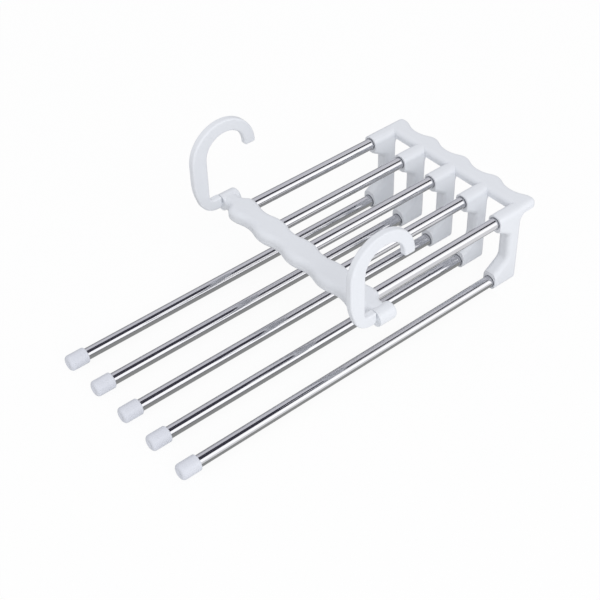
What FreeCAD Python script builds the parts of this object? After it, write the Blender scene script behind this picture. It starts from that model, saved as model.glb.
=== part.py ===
import FreeCAD, Part
import math
import os

# Five-tier trouser hanger: a moulded end comb holds five pairs of steel tubes. The short upper tubes
# carry a wavy hook bar with two swivelling hooks, the long lower tubes end free in push-on caps.
# Millimetres. +X runs along the tubes towards the comb, +Y along the hook bar, +Z up.
# The origin is the middle of the plane that the caps and the comb's feet stand on.

# Tubes
tier_count = 5
tier_pitch = 37.5          # between neighbouring tubes
tube_diameter = 10.0
tube_wall = 0.4
upper_reach = 130.0        # bare upper tube between the comb and the hook bar
lower_reach = 306.0        # bare lower tube between the comb and its cap
tier_rise = 62.0           # upper tube axis above the lower one
tube_fit = 0.05            # radial room of a tube in its socket

# Caps on the free ends
cap_wall = 1.75            # round the tube
cap_length = 17.0
cap_floor = 2.5
cap_nose_round = 2.8
cap_rim_round = 1.2
cap_dish = 0.9             # depth of the hollow in the nose
cap_dish_land = 0.4        # flat ring between the hollow and the nose's round

# End comb
arm_wall = 1.75            # beside each tube
arm_roof = 1.75            # above each upper tube
arm_floor = 3.2            # below each upper tube, at the socket
arm_crown_flat = 1.4       # half of the flat left along an arm's round top
arm_length = 23.0          # socket face to the plate's inner edge
comb_reach = 43.5          # socket face to the plate's outer crests
plate_thickness = 7.5
plate_rise = 0.25          # plate's top above the arms
plate_wave_depth = 5.0
plate_crest_share = 0.34   # part of each wave's side that bulges, the rest is hollow
plate_end_round = 4.7
plate_end_inset = 0.8      # plate's ends inside the outer flanks of the brackets
spine_front = 13.4         # socket face to the hollow of the C
spine_back = 26.4
throat_top = 16.5          # hollow of the C begins this far below the upper axis
throat_foot = 19.0         # and ends this far above the lower axis
lower_shoulder = 4.5       # above each lower tube, at the socket
throat_round = 6.0
heel_round = 5.0
foot_round = 5.5           # underside of a bracket's foot, crosswise
gusset_round = 8.0
gusset_land = 2.0          # flat of a bracket under the plate, past the gusset
comb_round = 4.4           # along the brackets
plate_round = 4.4          # along the plate's top
upper_socket_depth = 22.0
lower_socket_depth = 20.0
socket_mouth_room = 0.7    # wider mouth round each tube
socket_mouth_depth = 1.0

# Hook bar
bar_crest_width = 25.5
bar_valley_width = 19.5
bar_crest_share = 0.5
bar_neck_width = 14.0
bar_wall = 1.5             # above and below each tube
bar_round = 5.0
bar_socket_floor = 5.5     # wall behind each upper tube
hook_overhang = 20.0       # hook pivot beyond the outermost tube
bar_neck_length = 8.0      # straight neck beside the pivot
barrel_diameter = 14.5
barrel_hook_side = 7.2     # bar middle to the barrel face beside the hook
barrel_comb_side = 10.0    # bar middle to the barrel's other face
barrel_face_round = 0.4    # crisp edge beside the hook
barrel_end_round = 2.5     # at the barrel's other face

# Hooks
seat_radius = 19.5         # inside of the hook, round a closet rod
seat_height = 49.0         # rod centre above the pivot
hook_thickness = 6.5
stem_width = 14.2
crown_width = 11.4
tip_width = 10.4
tip_straight = 0.1         # of the tip below the rod centre, before its rounded end
foot_top = 8.3             # above the pivot
foot_drop = 2.7            # below the pivot
foot_inner_round = 4.5
foot_end_round = 4.0       # lower corner of the foot, beside the barrel
heel_set = 9.0             # heel corner inside the stem's outer face
heel_rise = 26.0           # stem starts to lean in this far above the foot's underside
hook_heel_round = 18.0
stem_sweep_round = 60.0
hook_round = 1.6
hook_end_ease = 0.2        # other corners of the foot and the tip are rounder by this

# Swivel: a split snap pin on the hook turns in the barrel's bore
pin_diameter = 5.0
pin_fit = 0.08             # radial running clearance
hook_gap = 0.5             # between the hook's foot and the barrel face
barb_diameter = 6.4
barb_length = 3.0
barb_gap = 0.3             # end play behind the barb
barb_lead = 1.2            # taper that lets the barb snap through
barb_room = 0.8            # radial room round the barb
barb_setback = 0.5         # barb's end inside the barrel's face
pin_slot_width = 1.4
pin_slot_length = 11.0

# Worked out from the sizes above
tube_radius = tube_diameter / 2
socket_radius = tube_radius + tube_fit
cap_diameter = tube_diameter + 2 * cap_wall
arm_width = tube_diameter + 2 * arm_wall
arm_half = arm_width / 2
arm_top = tube_radius + arm_roof
bar_thickness = tube_diameter + 2 * bar_wall
hook_end_round = hook_round + hook_end_ease
tip_drop = hook_end_round + tip_straight
overall_length = comb_reach + lower_reach + cap_length
comb_x = overall_length / 2
socket_x = comb_x - comb_reach
cap_mouth_x = socket_x - lower_reach
lower_z = cap_diameter / 2
upper_z = lower_z + tier_rise
bar_x = socket_x - upper_reach - bar_crest_width / 2
plate_bottom = upper_z + arm_top + plate_rise - plate_thickness
tier_ys = [tier_pitch * ((tier_count - 1) / 2 - k) for k in range(tier_count)]
pivot_y = tier_ys[0] + hook_overhang


def point(x, y, z):
    return FreeCAD.Vector(x, y, z)


def line(start, end):
    return Part.LineSegment(start, end).toShape()


def arc(start, middle, end):
    return Part.Arc(start, middle, end).toShape()


def rod(radius, start, length):
    # Cylinder along +X.
    return Part.makeCylinder(radius, length, start, point(1, 0, 0))


def rounded_path(corners):
    # Open run of straight edges through (point, radius) corners, each rounded by its tangent arc.
    edges = []
    here = corners[0][0]
    for k in range(1, len(corners) - 1):
        corner, radius = corners[k]
        back = (corners[k - 1][0] - corner).normalize()
        ahead = (corners[k + 1][0] - corner).normalize()
        leave = corner
        if radius > 0:
            half = back.getAngle(ahead) / 2
            inset = radius / math.tan(half)
            bisector = (back + ahead).normalize()
            middle = corner + bisector * (radius / math.sin(half) - radius)
            enter = corner + back * inset
            leave = corner + ahead * inset
            edges += [line(here, enter), arc(enter, middle, leave)]
        else:
            edges.append(line(here, corner))
        here = leave
    edges.append(line(here, corners[-1][0]))
    return edges


def swell(start, end, share):
    # Two tangent arcs from start to end, both square to X at their ends. They meet on the chord
    # at its given share.
    meet = start + (end - start) * share
    edges = []
    for a, b, side in ((start, meet, 1), (meet, end, -1)):
        chord = b - a
        tilt = math.atan2(abs(chord.x), abs(chord.y))
        bulge = chord.Length / 2 * math.tan(tilt / 2)
        outward = point(math.copysign(1, start.x - end.x), 0, 0)
        across = (outward - chord * (outward.dot(chord) / chord.dot(chord))).normalize()
        edges.append(arc(a, (a + b) / 2 + across * (bulge * side), b))
    return edges


def wave(stations, share):
    # Edge that swells and narrows from station to station, each (start, end, whether it leaves a
    # crest). Its bulging part takes the given share.
    edges = []
    for (x0, y0), (x1, y1), from_crest in stations:
        part = share if from_crest else 1 - share
        edges += swell(point(x0, y0, 0), point(x1, y1, 0), part)
    return edges


def prism(edges, height):
    return Part.Face(Part.Wire(edges)).extrude(height)


def edges_where(shape, test):
    return [edge for edge in shape.Edges if all(test(v.Point) for v in edge.Vertexes)]


def near(a, b):
    return abs(a - b) < 1e-6


def tube(length, start):
    return rod(tube_radius, start, length).cut(rod(tube_radius - tube_wall, start, length))


def socket(mouth, depth):
    # Blind hole for a tube along +X, with a slightly wider mouth.
    wide = rod(socket_radius + socket_mouth_room, mouth, socket_mouth_depth)
    return rod(socket_radius, mouth, depth).fuse(wide)


def end_cap(y):
    # Round cap with a shallow ball-shaped hollow in its nose and a blind hole for the tube.
    nose = point(cap_mouth_x - cap_length, y, lower_z)
    cap = rod(cap_diameter / 2, nose, cap_length)
    nose_edges = edges_where(cap, lambda p: near(p.x, nose.x))
    cap = cap.makeFillet(cap_nose_round, [e for e in nose_edges if e.Closed])
    rim_edges = edges_where(cap, lambda p: near(p.x, cap_mouth_x))
    cap = cap.makeFillet(cap_rim_round, [e for e in rim_edges if e.Closed])
    dish_radius = cap_diameter / 2 - cap_nose_round - cap_dish_land
    ball_radius = (dish_radius ** 2 + cap_dish ** 2) / (2 * cap_dish)
    ball = Part.makeSphere(ball_radius, nose + point(cap_dish - ball_radius, 0, 0))
    hole = rod(socket_radius, nose + point(cap_floor, 0, 0), cap_length)
    return cap.cut([ball, hole])


def comb_plate():
    # Wavy plate across the backs of the brackets, drawn from above.
    inner_x = socket_x + arm_length
    valley_x = comb_x - plate_wave_depth
    sides = []
    for y0, y1 in zip(tier_ys, tier_ys[1:]):
        middle = (y0 + y1) / 2
        sides.append(((comb_x, y0), (valley_x, middle), True))
        sides.append(((valley_x, middle), (comb_x, y1), False))
    outer = wave(sides, plate_crest_share)
    near_end = tier_ys[-1] - arm_half + plate_end_inset
    far_end = tier_ys[0] + arm_half - plate_end_inset
    inner = rounded_path([
        (point(comb_x, tier_ys[-1], 0), 0),
        (point(comb_x, near_end, 0), plate_end_round),
        (point(inner_x, near_end, 0), plate_end_round),
        (point(inner_x, far_end, 0), plate_end_round),
        (point(comb_x, far_end, 0), plate_end_round),
        (point(comb_x, tier_ys[0], 0), 0),
    ])
    plate = prism(outer + inner, point(0, 0, plate_thickness))
    top_edges = edges_where(plate, lambda p: near(p.z, plate_thickness))
    plate = plate.makeFillet(plate_round, top_edges)
    plate.translate(point(0, 0, plate_bottom))
    return plate


def comb_bracket(y):
    # C-shaped bracket of one tier: round-topped upper arm, spine and lower arm with its foot.
    top = upper_z + arm_top
    front_x = socket_x + spine_front
    back_x = socket_x + spine_back
    land_x = back_x + gusset_round + gusset_land
    side = y - arm_half
    profile = [
        (point(socket_x, side, top), 0),
        (point(socket_x, side, upper_z - tube_radius - arm_floor), 0),
        (point(front_x, side, upper_z - throat_top), throat_round),
        (point(front_x, side, lower_z + throat_foot), throat_round),
        (point(socket_x, side, lower_z + tube_radius + lower_shoulder), 0),
        (point(socket_x, side, 0), 0),
        (point(back_x, side, 0), heel_round),
        (point(back_x, side, plate_bottom), gusset_round),
        (point(land_x, side, plate_bottom), 0),
        (point(land_x, side, top), 0),
        (point(socket_x, side, top), 0),
    ]
    bracket = prism(rounded_path(profile), point(0, arm_width, 0))

    def on_profile(edge):
        # Lengthwise edges of the throat, the foot and the back, on both flanks.
        flat = near(edge.CenterOfMass.y, side) or near(edge.CenterOfMass.y, side + arm_width)
        ends = (socket_x, land_x)
        upright = any(near(edge.CenterOfMass.x, x) for x in ends)
        return flat and not upright and not near(edge.CenterOfMass.z, top)

    bracket = bracket.makeFillet(comb_round, [e for e in bracket.Edges if on_profile(e)])
    length = land_x - socket_x
    envelope = Part.makeBox(length, arm_width, top, point(socket_x, side, 0))
    long_edges = [e for e in envelope.Edges if near(e.Length, length)]
    upper_edges = [e for e in long_edges if near(e.CenterOfMass.z, top)]
    envelope = envelope.makeFillet(arm_half - arm_crown_flat, upper_edges)
    lower_edges = edges_where(envelope, lambda p: near(p.z, 0))
    envelope = envelope.makeFillet(foot_round, [e for e in lower_edges if near(e.Length, length)])
    return bracket.common(envelope)


def end_comb():
    comb = comb_plate().multiFuse([comb_bracket(y) for y in tier_ys]).removeSplitter()
    holes = []
    for y in tier_ys:
        holes.append(socket(point(socket_x, y, upper_z), upper_socket_depth))
        holes.append(socket(point(socket_x, y, lower_z), lower_socket_depth))
    return comb.cut(holes)


def bar_outline():
    # Plan of the hook bar about its middle: a crest at each tube, waists between, a neck at each end.
    crest = bar_crest_width / 2
    valley = bar_valley_width / 2
    neck = bar_neck_width / 2
    neck_y = pivot_y - bar_neck_length
    sides = [((neck, neck_y), (crest, tier_ys[0]), False)]
    for y0, y1 in zip(tier_ys, tier_ys[1:]):
        middle = (y0 + y1) / 2
        sides.append(((crest, y0), (valley, middle), True))
        sides.append(((valley, middle), (crest, y1), False))
    sides.append(((crest, tier_ys[-1]), (neck, -neck_y), True))
    comb_side = wave(sides, bar_crest_share)
    turned = [edge.rotated(point(0, 0, 0), point(0, 0, 1), 180) for edge in comb_side]
    ends = []
    for end in (1, -1):
        ends.append(line(point(neck * end, neck_y * end, 0), point(neck * end, pivot_y * end, 0)))
        ends.append(line(point(neck * end, pivot_y * end, 0), point(-neck * end, pivot_y * end, 0)))
        ends.append(line(point(-neck * end, pivot_y * end, 0), point(-neck * end, neck_y * end, 0)))
    return Part.__sortEdges__(comb_side + turned + ends)


def barrel(y):
    # Round boss along X that holds one hook's pin.
    start = point(-barrel_hook_side, y, 0)
    boss = rod(barrel_diameter / 2, start, barrel_hook_side + barrel_comb_side)
    for face_x, radius in ((-barrel_hook_side, barrel_face_round), (barrel_comb_side, barrel_end_round)):
        rim = [e for e in boss.Edges if e.Closed and near(e.CenterOfMass.x, face_x)]
        boss = boss.makeFillet(radius, rim)
    return boss


def pin_bore(y):
    # Running bore for the pin, with a wider pocket for its barb at the comb side.
    length = barrel_hook_side + barrel_comb_side
    pocket_depth = barb_setback + barb_length + barb_gap
    bore = rod(pin_diameter / 2 + pin_fit, point(-barrel_hook_side, y, 0), length)
    pocket = rod(barb_diameter / 2 + barb_room, point(barrel_comb_side - pocket_depth, y, 0), pocket_depth)
    return bore.fuse(pocket)


def hook_bar():
    slab = prism(bar_outline(), point(0, 0, bar_thickness))
    rims = [e for e in slab.Edges if near(e.CenterOfMass.z, 0) or near(e.CenterOfMass.z, bar_thickness)]
    slab = slab.makeFillet(bar_round, [e for e in rims if not near(abs(e.CenterOfMass.y), pivot_y)])
    slab.translate(point(0, 0, -bar_thickness / 2))
    bar = slab.multiFuse([barrel(pivot_y), barrel(-pivot_y)]).removeSplitter()
    depth = bar_crest_width - bar_socket_floor
    mouths = [point(bar_crest_width / 2, y, 0) for y in tier_ys]
    holes = [Part.makeCylinder(socket_radius, depth, mouth, point(-1, 0, 0)) for mouth in mouths]
    holes += [pin_bore(pivot_y), pin_bore(-pivot_y)]
    bar = bar.cut(holes)
    bar.translate(point(bar_x, 0, upper_z))
    return bar


def in_hook_plane(x, z):
    # x from the bar's middle, z from the pivot, on the hook's right-hand face.
    return point(x, -hook_thickness / 2, z)


def hook_blank():
    # Outer form of the hook: crown, stem and heel, with everything inside still filled.
    left = -(seat_radius + stem_width)
    right = seat_radius + tip_width
    crown = seat_height + seat_radius + crown_width
    radius = (right - left) / 2
    centre_x = (left + right) / 2
    centre_z = crown - radius
    inside_z = centre_z - radius / 2
    inside_x = centre_x + radius * math.cos(math.pi / 6)
    foot_x = -(barrel_hook_side + hook_gap)
    back = arc(
        in_hook_plane(left, centre_z),
        in_hook_plane(centre_x, crown),
        in_hook_plane(inside_x, inside_z),
    )
    front = rounded_path([
        (in_hook_plane(inside_x, inside_z), 0),
        (in_hook_plane(foot_x, inside_z), 0),
        (in_hook_plane(foot_x, -foot_drop), 0),
        (in_hook_plane(left + heel_set, -foot_drop), hook_heel_round),
        (in_hook_plane(left, heel_rise - foot_drop), stem_sweep_round),
        (in_hook_plane(left, centre_z), 0),
    ])
    return prism([back] + front, point(0, hook_thickness, 0))


def hook_mouth():
    # Space for the closet rod: round seat at the top, open towards the comb below the tip.
    beyond = 2 * (seat_radius + tip_width)
    tip_z = seat_height - tip_drop
    seat = arc(
        in_hook_plane(seat_radius, seat_height),
        in_hook_plane(0, seat_height + seat_radius),
        in_hook_plane(-seat_radius, seat_height),
    )
    opening = rounded_path([
        (in_hook_plane(-seat_radius, seat_height), 0),
        (in_hook_plane(-seat_radius, foot_top), foot_inner_round),
        (in_hook_plane(beyond, foot_top), 0),
        (in_hook_plane(beyond, tip_z), 0),
        (in_hook_plane(seat_radius, tip_z), 0),
        (in_hook_plane(seat_radius, seat_height), 0),
    ])
    return prism([seat] + opening, point(0, hook_thickness, 0))


def hook_plate():
    plate = hook_blank().cut(hook_mouth())
    foot_x = -(barrel_hook_side + hook_gap)
    tip_z = seat_height - tip_drop
    lower_corner = edges_where(plate, lambda p: near(p.x, foot_x) and near(p.z, -foot_drop))
    plate = plate.makeFillet(foot_end_round, lower_corner)
    upper_corner = edges_where(plate, lambda p: near(p.x, foot_x) and near(p.z, foot_top))
    tip_end = [e for e in plate.Edges if near(e.CenterOfMass.z, tip_z)]
    tip_corners = [e for e in tip_end if near(e.CenterOfMass.y, 0)]
    plate = plate.makeFillet(hook_end_round, upper_corner + tip_corners)
    outlines = [e for e in plate.Edges if near(abs(e.CenterOfMass.y), hook_thickness / 2)]
    return plate.makeFillet(hook_round, outlines)


def snap_pin():
    # Pin from the hook's foot through the barrel, with a tapered barb and a slot that lets it close.
    root_x = -(barrel_hook_side + hook_gap + foot_end_round)
    tip_x = barrel_comb_side - barb_setback
    barb_x = tip_x - barb_length
    shaft = rod(pin_diameter / 2, point(root_x, 0, 0), barb_x - root_x)
    collar = rod(barb_diameter / 2, point(barb_x, 0, 0), barb_length - barb_lead)
    lead_start = point(tip_x - barb_lead, 0, 0)
    lead = Part.makeCone(barb_diameter / 2, pin_diameter / 2, barb_lead, lead_start, point(1, 0, 0))
    slot_corner = point(tip_x - pin_slot_length, -barb_diameter / 2, -pin_slot_width / 2)
    slot = Part.makeBox(pin_slot_length, barb_diameter, pin_slot_width, slot_corner)
    return shaft.multiFuse([collar, lead]).removeSplitter().cut(slot)


def hook(y):
    whole = hook_plate().fuse(snap_pin()).removeSplitter()
    whole.translate(point(bar_x, y, upper_z))
    return whole


def save(name, shape):
    solid = shape.Solids[0] if len(shape.Solids) == 1 else shape
    solid.exportStep("parts/" + name + ".step")
    verdict = "valid" if shape.isValid() else "NOT VALID"
    print(name, len(shape.Solids), "solid", round(shape.Volume), "mm3", verdict)


os.makedirs("parts", exist_ok=True)
save("end_comb", end_comb())
save("hook_bar", hook_bar())
save("left_hook", hook(pivot_y))
save("right_hook", hook(-pivot_y))
bar_floor_x = bar_x - bar_crest_width / 2 + bar_socket_floor
cap_floor_x = cap_mouth_x - cap_length + cap_floor
upper_length = socket_x + upper_socket_depth - bar_floor_x
lower_length = socket_x + lower_socket_depth - cap_floor_x
for number, tier_y in enumerate(tier_ys, 1):
    save("upper_tube_%d" % number, tube(upper_length, point(bar_floor_x, tier_y, upper_z)))
    save("lower_tube_%d" % number, tube(lower_length, point(cap_floor_x, tier_y, lower_z)))
    save("end_cap_%d" % number, end_cap(tier_y))
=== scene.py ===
from math import radians
import bpy
import numpy as np
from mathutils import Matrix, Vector


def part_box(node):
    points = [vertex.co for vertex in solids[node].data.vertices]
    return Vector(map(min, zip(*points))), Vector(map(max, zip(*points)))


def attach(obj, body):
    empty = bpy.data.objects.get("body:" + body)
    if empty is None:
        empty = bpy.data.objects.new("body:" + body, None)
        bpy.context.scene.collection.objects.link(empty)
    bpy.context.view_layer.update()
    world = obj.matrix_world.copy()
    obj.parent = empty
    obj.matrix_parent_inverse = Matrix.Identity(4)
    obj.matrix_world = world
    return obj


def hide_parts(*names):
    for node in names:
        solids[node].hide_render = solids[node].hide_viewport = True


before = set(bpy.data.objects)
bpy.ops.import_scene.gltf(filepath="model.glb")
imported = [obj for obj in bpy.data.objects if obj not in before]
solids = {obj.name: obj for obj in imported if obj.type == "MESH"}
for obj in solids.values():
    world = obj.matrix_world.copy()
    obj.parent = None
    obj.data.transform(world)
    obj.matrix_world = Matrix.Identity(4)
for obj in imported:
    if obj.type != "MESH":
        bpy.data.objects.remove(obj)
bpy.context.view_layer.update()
mm = 0.001
metreInMm = 1000
tiers = 5  # pairs of tubes, counted from the far side
mixShare, mixFrom, mixTo, mixedColour = 0, 6, 7, 2  # sockets of a Mix node that mixes colours
print("frame loaded,", len(solids), "solids")


def linearColour(code):
    # sRGB hex to the linear colour that a shader socket takes, by the standard's own curve
    channel = np.array([int(code[i:i + 2], 16) for i in (1, 3, 5)]) / 255
    linear = np.where(channel <= 0.04045, channel / 12.92, ((channel + 0.055) / 1.055) ** 2.4)
    return (*linear.tolist(), 1.0)


def addNode(tree, kind, inputs, **settings):
    # one node: settings go to the node, inputs take a plain value or another node's output
    node = tree.nodes.new(kind)
    for name, value in settings.items():
        setattr(node, name, value)
    for name, value in inputs.items():
        if isinstance(value, bpy.types.NodeSocket):
            tree.links.new(value, node.inputs[name])
        else:
            node.inputs[name].default_value = value
    return node


def emptyMaterial(name):
    material = bpy.data.materials.new(name)
    material.use_nodes = True
    material.node_tree.nodes.clear()
    return material, material.node_tree


# Injection-moulded polypropylene, cold white with a violet cast. The eye gets a soft satin sheen,
# faint clouding where the melt flowed, a fine mould skin and a hairline where the mould halves met.
plastic = {
    "name": "mouldedPolypropyleneColdWhite",
    "tone": "#e7eaef",
    "clouded": "#e2e5ea",
    "cloudMm": 45.0,
    "cloudDetail": 3.0,
    "skinMm": 0.9,  # the real mould skin is about 0.1 mm, drawn coarser so that it shows
    "skinDetail": 2.0,
    "skinHeightMm": 0.005,
    "skinStrength": 0.6,
    "roughness": (0.34, 0.46),  # in the skin's low spots and on its high ones
    "ior": 1.49,
    "partingY": 95.0,  # mm from the middle, where the two halves of a hook's mould meet
    "partingMm": 0.16,  # half the width of the hairline
    "partingHeight": 3.0,  # at the middle of the hairline, in skin heights
}


def makePlastic(p):
    material, tree = emptyMaterial(p["name"])
    place = addNode(tree, "ShaderNodeTexCoord", {}).outputs["Object"]
    cloud = addNode(tree, "ShaderNodeTexNoise", {
        "Vector": place, "Scale": metreInMm / p["cloudMm"], "Detail": p["cloudDetail"]})
    skin = addNode(tree, "ShaderNodeTexNoise", {
        "Vector": place, "Scale": metreInMm / p["skinMm"], "Detail": p["skinDetail"]})
    tone = addNode(tree, "ShaderNodeMix", {
        mixShare: cloud.outputs["Fac"], mixFrom: linearColour(p["tone"]),
        mixTo: linearColour(p["clouded"])}, data_type="RGBA")
    gloss = addNode(tree, "ShaderNodeMapRange", {
        "Value": skin.outputs["Fac"], "To Min": p["roughness"][0], "To Max": p["roughness"][1]})
    # distance of a point from the parting plane of the nearer hook, turned into a low ridge
    axes = addNode(tree, "ShaderNodeSeparateXYZ", {"Vector": place})
    outward = addNode(tree, "ShaderNodeMath", {0: axes.outputs["Y"]}, operation="ABSOLUTE")
    fromPlane = addNode(tree, "ShaderNodeMath", {0: outward.outputs[0], 1: p["partingY"] * mm},
                        operation="SUBTRACT")
    distance = addNode(tree, "ShaderNodeMath", {0: fromPlane.outputs[0]}, operation="ABSOLUTE")
    ridge = addNode(tree, "ShaderNodeMapRange", {
        "Value": distance.outputs[0], "From Min": 0.0, "From Max": p["partingMm"] * mm,
        "To Min": p["partingHeight"], "To Max": 0.0})
    height = addNode(tree, "ShaderNodeMath", {0: skin.outputs["Fac"], 1: ridge.outputs[0]}, operation="ADD")
    bump = addNode(tree, "ShaderNodeBump", {
        "Height": height.outputs[0], "Strength": p["skinStrength"], "Distance": p["skinHeightMm"] * mm})
    shader = addNode(tree, "ShaderNodeBsdfPrincipled", {
        "Base Color": tone.outputs[mixedColour], "Roughness": gloss.outputs[0],
        "IOR": p["ior"], "Normal": bump.outputs[0]})
    addNode(tree, "ShaderNodeOutputMaterial", {"Surface": shader.outputs[0]})
    return material


# Polyethylene of the push-on caps: softer and waxier than the comb, and a shade greyer.
capPlastic = dict(
    plastic, name="mouldedPolyethyleneWaxyWhite", tone="#dbdee6", clouded="#d6d9e2", cloudMm=18.0,
    skinMm=0.7, skinHeightMm=0.002, roughness=(0.38, 0.5), ior=1.51)

# Stainless tube, rolled, welded and buffed bright. The eye gets mirror bands along the tube, a little
# softened by buffing lines that run with it.
steel = {
    "name": "buffedStainlessBright",
    "tone": "#d4d4d7",
    "dulled": "#cbcbcf",
    "lineMm": 0.8,  # buffing lines are a few hundredths wide, drawn coarser so that they show
    "lineLengthMm": 60.0,
    "lineDetail": 3.0,
    "lineHeightMm": 0.0001,
    "lineStrength": 0.5,
    "roughness": (0.07, 0.12),  # in the lines' low spots and on their high ones
}


def makeSteel(p):
    material, tree = emptyMaterial(p["name"])
    place = addNode(tree, "ShaderNodeTexCoord", {}).outputs["Object"]
    across = metreInMm / p["lineMm"]
    drawn = addNode(tree, "ShaderNodeMapping", {
        "Vector": place, "Scale": (metreInMm / p["lineLengthMm"], across, across)})
    lines = addNode(tree, "ShaderNodeTexNoise", {
        "Vector": drawn.outputs[0], "Scale": 1.0, "Detail": p["lineDetail"]})
    tone = addNode(tree, "ShaderNodeMix", {
        mixShare: lines.outputs["Fac"], mixFrom: linearColour(p["tone"]),
        mixTo: linearColour(p["dulled"])}, data_type="RGBA")
    gloss = addNode(tree, "ShaderNodeMapRange", {
        "Value": lines.outputs["Fac"], "To Min": p["roughness"][0], "To Max": p["roughness"][1]})
    bump = addNode(tree, "ShaderNodeBump", {
        "Height": lines.outputs["Fac"], "Strength": p["lineStrength"], "Distance": p["lineHeightMm"] * mm})
    shader = addNode(tree, "ShaderNodeBsdfPrincipled", {
        "Base Color": tone.outputs[mixedColour], "Metallic": 1.0,
        "Roughness": gloss.outputs[0], "Normal": bump.outputs[0]})
    addNode(tree, "ShaderNodeOutputMaterial", {"Surface": shader.outputs[0]})
    return material


whitePlastic = makePlastic(plastic)
capWhite = makePlastic(capPlastic)
brightSteel = makeSteel(steel)
for name in ("end_comb", "hook_bar", "left_hook", "right_hook"):
    for slot in solids[name].material_slots:
        slot.material = whitePlastic
print("plastic and steel made")


def roundLine(box):
    # y and z of the line along X that a round piece turns about
    return (box[0][1] + box[1][1]) / 2, (box[0][2] + box[1][2]) / 2


def cornerArc(centre, radius, start, end, count):
    # Quarter round in the (along, radius) plane:
    # centre plus radius times (cos, sin) from start to end, in degrees.
    turn = np.radians(np.linspace(start, end, count))
    return np.stack([centre[0] + radius * np.cos(turn), centre[1] + radius * np.sin(turn)], axis=1)


def straightRun(start, end, count):
    # points between two profile points, both ends left out: start times (1 - share) plus end times share
    share = np.linspace(0, 1, count + 2)[1:-1, None]
    return np.array(start) * (1 - share) + np.array(end) * share


def turnedPiece(name, profile, axis, segments, closedLoop, material):
    # Profile of (along, radius) pairs carried round a line along X:
    # y = axis y + radius cos a, z = axis z + radius sin a.
    # A closed loop joins its last ring to its first; an open one ends in a pole at each end.
    angle = np.linspace(0, 2 * np.pi, segments, endpoint=False)
    along, radius = profile[:, :1], profile[:, 1:]
    sideways = axis[0] + radius * np.cos(angle)
    upward = axis[1] + radius * np.sin(angle)
    points = np.stack(np.broadcast_arrays(along, sideways, upward), -1).reshape(-1, 3)
    rings = len(profile)
    first = np.arange(rings if closedLoop else rings - 1)[:, None] * segments
    second = (first + segments) % (rings * segments)
    here = np.arange(segments)[None, :]
    after = (here + 1) % segments
    faces = np.stack([first + here, second + here, second + after, first + after], -1).reshape(-1, 4).tolist()
    if not closedLoop:
        poles = np.array([[profile[0, 0], *axis], [profile[-1, 0], *axis]])
        points = np.concatenate([points, poles])
        last = (rings - 1) * segments
        near = np.stack([np.full(segments, rings * segments), here[0], after[0]], -1)
        far = np.stack([np.full(segments, rings * segments + 1), last + after[0], last + here[0]], -1)
        faces += near.tolist() + far.tolist()
    mesh = bpy.data.meshes.new(name)
    mesh.from_pydata(points.tolist(), [], faces)
    mesh.polygons.foreach_set("use_smooth", np.ones(len(mesh.polygons), dtype=bool))
    mesh.materials.append(material)
    mesh.update()
    piece = bpy.data.objects.new(name, mesh)
    bpy.context.scene.collection.objects.link(piece)
    return piece


tube = {
    "wallMm": 0.4,
    "rimMm": 0.12,  # round on each corner of the wall
    "guardMm": 0.4,  # from that round to a ring that keeps the long side shading straight
    "rimRings": 4,
    "lengthRings": 10,
    "segments": 96,
}


def tubeProfile(box, p):
    # Thin wall seen in section: outside, rim, inside, rim, every corner eased, with guard rings by the rims
    start, end = box[0][0], box[1][0]
    outer = (box[1][1] - box[0][1]) / 2
    inner = outer - p["wallMm"] * mm
    rim, guard = p["rimMm"] * mm, p["guardMm"] * mm
    low, high = start + rim + guard, end - rim - guard
    return np.concatenate([
        cornerArc((start + rim, outer - rim), rim, 180, 90, p["rimRings"]),
        [[low, outer]],
        straightRun((low, outer), (high, outer), p["lengthRings"]),
        [[high, outer]],
        cornerArc((end - rim, outer - rim), rim, 90, 0, p["rimRings"]),
        cornerArc((end - rim, inner + rim), rim, 0, -90, p["rimRings"]),
        [[high, inner], [low, inner]],
        cornerArc((start + rim, inner + rim), rim, -90, -180, p["rimRings"]),
    ])


for row in range(1, tiers + 1):
    for level in ("upper_tube", "lower_tube"):
        name = f"{level}_{row}"
        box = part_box(name)
        profile = tubeProfile(box, tube)
        piece = turnedPiece(f"buffed_{name}", profile, roundLine(box), tube["segments"], True, brightSteel)
        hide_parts(name)
        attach(piece, "rack")
print("tubes drawn")

cap = {
    "floorMm": 2.5,  # from the nose to the floor of the bore
    "dishMm": 0.9,  # depth of the dent in the nose
    "noseMm": 2.8,
    "rimMm": 1.2,
    "boreMm": 5.05,  # radius, 0.05 more than the tube's
    "boreEdgeMm": 0.25,
    "rings": {"dish": 8, "nose": 14, "side": 5, "rim": 7, "edge": 5, "bore": 4, "floor": 2},
    "segments": 80,
}


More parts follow.
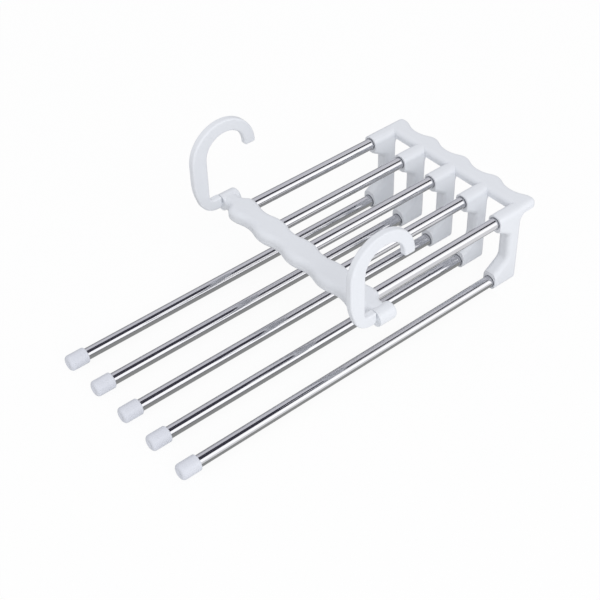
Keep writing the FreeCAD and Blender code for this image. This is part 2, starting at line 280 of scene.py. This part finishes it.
def capProfile(box, p):
    # From the middle of the nose's dish, out over its round, along the side, round the rim,
    # down the bore to its floor.
    # The dish sinks by half a cosine wave: depth times (1 + cos(pi r / width)) / 2.
    start, end = box[0][0], box[1][0]
    outer = (box[1][1] - box[0][1]) / 2
    nose, rim, edge = p["noseMm"] * mm, p["rimMm"] * mm, p["boreEdgeMm"] * mm
    bore = p["boreMm"] * mm
    floor = start + p["floorMm"] * mm
    width = outer - nose
    rings = p["rings"]
    reach = straightRun((start, 0.0), (start, width), rings["dish"])
    sunk = p["dishMm"] * mm * (1 + np.cos(np.pi * reach[:, 1] / width)) / 2
    dish = np.stack([start + sunk, reach[:, 1]], axis=1)
    return np.concatenate([
        dish,
        cornerArc((start + nose, outer - nose), nose, 180, 90, rings["nose"]),
        straightRun((start + nose, outer), (end - rim, outer), rings["side"]),
        cornerArc((end - rim, outer - rim), rim, 90, 0, rings["rim"]),
        cornerArc((end - edge, bore + edge), edge, 0, -90, rings["edge"]),
        straightRun((end - edge, bore), (floor, bore), rings["bore"]),
        [[floor, bore]],
        straightRun((floor, bore), (floor, 0.0), rings["floor"]),
    ])


for row in range(1, tiers + 1):
    name = f"end_cap_{row}"
    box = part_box(name)
    profile = capProfile(box, cap)
    piece = turnedPiece(f"waxy_{name}", profile, roundLine(box), cap["segments"], False, capWhite)
    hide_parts(name)
    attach(piece, "rack")
print("caps drawn")


def cardMaterial(name, colour, strength):
    material, tree = emptyMaterial(name)
    glow = addNode(tree, "ShaderNodeEmission", {"Color": linearColour(colour), "Strength": strength})
    addNode(tree, "ShaderNodeOutputMaterial", {"Surface": glow.outputs[0]})
    return material


def flatCard(name, corners, material):
    # corners in order round the card
    mesh = bpy.data.meshes.new(name)
    mesh.from_pydata(corners, [], [tuple(range(len(corners)))])
    mesh.materials.append(material)
    card = bpy.data.objects.new(name, mesh)
    bpy.context.scene.collection.objects.link(card)
    return card


def seenAsWhite(tree):
    # 1 for rays from the camera, from a mirror or through glass, 0 for rays that only light something
    path = addNode(tree, "ShaderNodeLightPath", {})
    seen = path.outputs["Is Camera Ray"]
    for ray in ("Is Glossy Ray", "Is Transmission Ray"):
        either = addNode(tree, "ShaderNodeMath", {0: seen, 1: path.outputs[ray]}, operation="MAXIMUM")
        seen = either.outputs[0]
    return seen


studio = {
    "white": "#ffffff",
    "floorHalf": 3.0,
    "floorDrop": 0.0002,  # below the caps and feet, so that no two faces share a plane
    "floorTone": "#fafafa",
    "floorGlow": 0.92,  # share of the floor that reads as plain white, the rest takes the shadow
    "skyTone": "#f6f6f8",
    "skyStrength": 0.81,
    "keyPlace": (-0.9, -3.3, 2.5),
    "keyAim": (0.0, 0.0, 0.05),
    "keySize": 2.6,
    "keyPower": 58.0,
}

# the floor is white to the camera and to mirrors, and keeps a faint shadow
floorPaint, tree = emptyMaterial("paleStudioFloor")
share = addNode(tree, "ShaderNodeMath", {0: seenAsWhite(tree), 1: studio["floorGlow"]}, operation="MULTIPLY")
matt = addNode(tree, "ShaderNodeBsdfDiffuse", {"Color": linearColour(studio["floorTone"])})
white = addNode(tree, "ShaderNodeEmission", {"Color": linearColour(studio["white"]), "Strength": 1.0})
mixed = addNode(tree, "ShaderNodeMixShader", {0: share.outputs[0], 1: matt.outputs[0], 2: white.outputs[0]})
addNode(tree, "ShaderNodeOutputMaterial", {"Surface": mixed.outputs[0]})
half, level = studio["floorHalf"], -studio["floorDrop"]
floorCorners = [(-half, -half, level), (half, -half, level), (half, half, level), (-half, half, level)]
flatCard("studioFloor", floorCorners, floorPaint)

# cards that only reflections see, with corners in metres: studio flags for bright metal, and a grey sheet of
# painted shade on the floor under the rack
flags = {
    "overheadFlag": {
        "tone": "#42414c",
        "strength": 1.0,
        "corners": [(0.10, 0.40, 1.0), (0.10, -0.80, 1.0), (0.42, -0.76, 1.0), (0.64, -0.50, 1.0),
                    (1.50, -0.48, 1.0), (1.50, -0.04, 1.0), (0.64, -0.01, 1.0), (0.42, 0.16, 1.0)],
    },
    "stripSoftbox": {
        "tone": "#ffffff",
        "strength": 1.6,
        "corners": [(0.4, -1.6, 0.2), (2.4, -1.6, 0.2), (2.4, -1.6, 1.95), (0.4, -1.6, 1.95)],
    },
    "backCard": {
        "tone": "#e6e6ec",
        "strength": 1.0,
        "corners": [(-2.0, 1.0, 0.5), (4.0, 1.0, 0.5), (4.0, 0.3, 2.4), (-2.0, 0.3, 2.4)],
    },
    "backStep": {
        "tone": "#b2b2b9",
        "strength": 1.0,
        "corners": [(-2.0, 1.2, 0.01), (4.0, 1.2, 0.01), (4.0, 1.0, 0.5), (-2.0, 1.0, 0.5)],
    },
    # painted shade: a grey sheet just above the floor under the rack stands for the rack's shadow there, as
    # the tubes mirror it
    "paintedShadeSheet": {
        "tone": "#a3a4a2",
        "strength": 1.0,
        "corners": [(-1.2, -0.098, 0.0006), (1.6, -0.098, 0.0006), (1.6, 1.1, 0.0006), (-1.2, 1.1, 0.0006)],
    },
}
for name, flag in flags.items():
    card = flatCard(name, flag["corners"], cardMaterial(f"{name}Tone", flag["tone"], flag["strength"]))
    card.visible_camera = False
    card.visible_diffuse = False
    card.visible_transmission = False
    card.visible_shadow = False

# the sky lights softly, and reads as plain white where it is seen
world = bpy.data.worlds.new("softStudioSky")
bpy.context.scene.world = world
world.use_nodes = True
tree = world.node_tree
tree.nodes.clear()
seen = seenAsWhite(tree)
sky = addNode(tree, "ShaderNodeBackground", {
    "Color": linearColour(studio["skyTone"]), "Strength": studio["skyStrength"]})
white = addNode(tree, "ShaderNodeBackground", {"Color": linearColour(studio["white"]), "Strength": 1.0})
mixed = addNode(tree, "ShaderNodeMixShader", {0: seen, 1: sky.outputs[0], 2: white.outputs[0]})
addNode(tree, "ShaderNodeOutputWorld", {"Surface": mixed.outputs[0]})

keyData = bpy.data.lights.new("keySoftbox", "AREA")
keyData.shape = "SQUARE"
keyData.size = studio["keySize"]
keyData.energy = studio["keyPower"]
key = bpy.data.objects.new("keySoftbox", keyData)
key.location = studio["keyPlace"]
keyBeam = Vector(studio["keyAim"]) - key.location
key.rotation_euler = keyBeam.to_track_quat("-Z", "Y").to_euler()
key.visible_glossy = False  # the strip softbox stands for it in mirrors
bpy.context.scene.collection.objects.link(key)
print("floor, cards and light set")

# where the photo was taken from, worked out from the five pairs of parallel tubes and the outline
view = {
    "place": (-0.50066, -0.61771, 0.72749),
    "turn": (48.2316, 1.3075, -39.9055),  # degrees
    "lens": 77.83,
    "sensor": 36.0,
    "clipStart": 0.01,
}
cameraData = bpy.data.cameras.new("photoCamera")
cameraData.lens = view["lens"]
cameraData.sensor_width = view["sensor"]
cameraData.clip_start = view["clipStart"]
camera = bpy.data.objects.new("photoCamera", cameraData)
camera.location = view["place"]
camera.rotation_euler = [radians(angle) for angle in view["turn"]]
bpy.context.scene.collection.objects.link(camera)
bpy.context.scene.camera = camera
bpy.context.scene.view_settings.view_transform = "Standard"
print("camera set")
